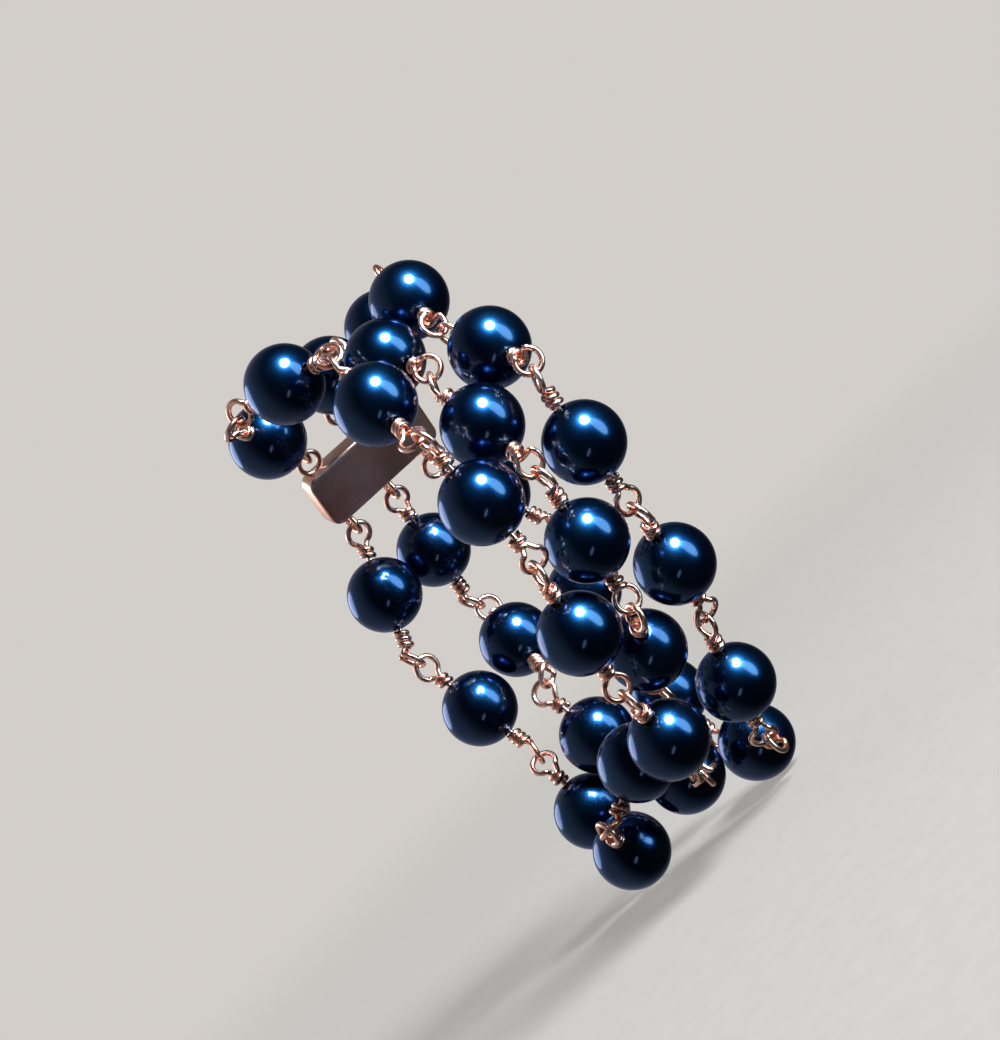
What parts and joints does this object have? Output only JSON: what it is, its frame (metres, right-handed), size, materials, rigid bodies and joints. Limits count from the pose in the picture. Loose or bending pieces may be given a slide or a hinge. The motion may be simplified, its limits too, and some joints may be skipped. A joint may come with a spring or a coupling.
{
  "type": "beaded bracelet",
  "caption": "Triple-strand bracelet of dark blue pearl-finish glass beads on wire-wrapped links, closed by a plain bar clasp and shown as worn round a wrist.",
  "frame": {"origin": "middle of the wrist's hollow, between the strands", "axes": "+Y along the wrist towards the hand, +Z towards the top of the wrist with the strands' slack hanging towards -Z, +X towards the broad side that the strands cross"},
  "size_m": [0.0682, 0.0324, 0.0828],
  "materials": {
    "bead_pearl": "polished pearl coat",
    "link_wire": "polished rose copper",
    "clasp_metal": "polished rose copper"
  },
  "bodies": {
    "root": {"bead_a1": "bead_pearl", "bead_a10": "bead_pearl", "bead_a2": "bead_pearl", "bead_a3": "bead_pearl", "bead_a4": "bead_pearl", "bead_a5": "bead_pearl", "bead_a6": "bead_pearl", "bead_a7": "bead_pearl", "bead_a8": "bead_pearl", "bead_a9": "bead_pearl", "bead_b1": "bead_pearl", "bead_b10": "bead_pearl", "bead_b2": "bead_pearl", "bead_b3": "bead_pearl", "bead_b4": "bead_pearl", "bead_b5": "bead_pearl", "bead_b6": "bead_pearl", "bead_b7": "bead_pearl", "bead_b8": "bead_pearl", "bead_b9": "bead_pearl", "bead_c1": "bead_pearl", "bead_c10": "bead_pearl", "bead_c2": "bead_pearl", "bead_c3": "bead_pearl", "bead_c4": "bead_pearl", "bead_c5": "bead_pearl", "bead_c6": "bead_pearl", "bead_c7": "bead_pearl", "bead_c8": "bead_pearl", "bead_c9": "bead_pearl", "clasp": "clasp_metal", "wire_links_a": "link_wire", "wire_links_b": "link_wire", "wire_links_c": "link_wire"}
  },
  "joints": []
}
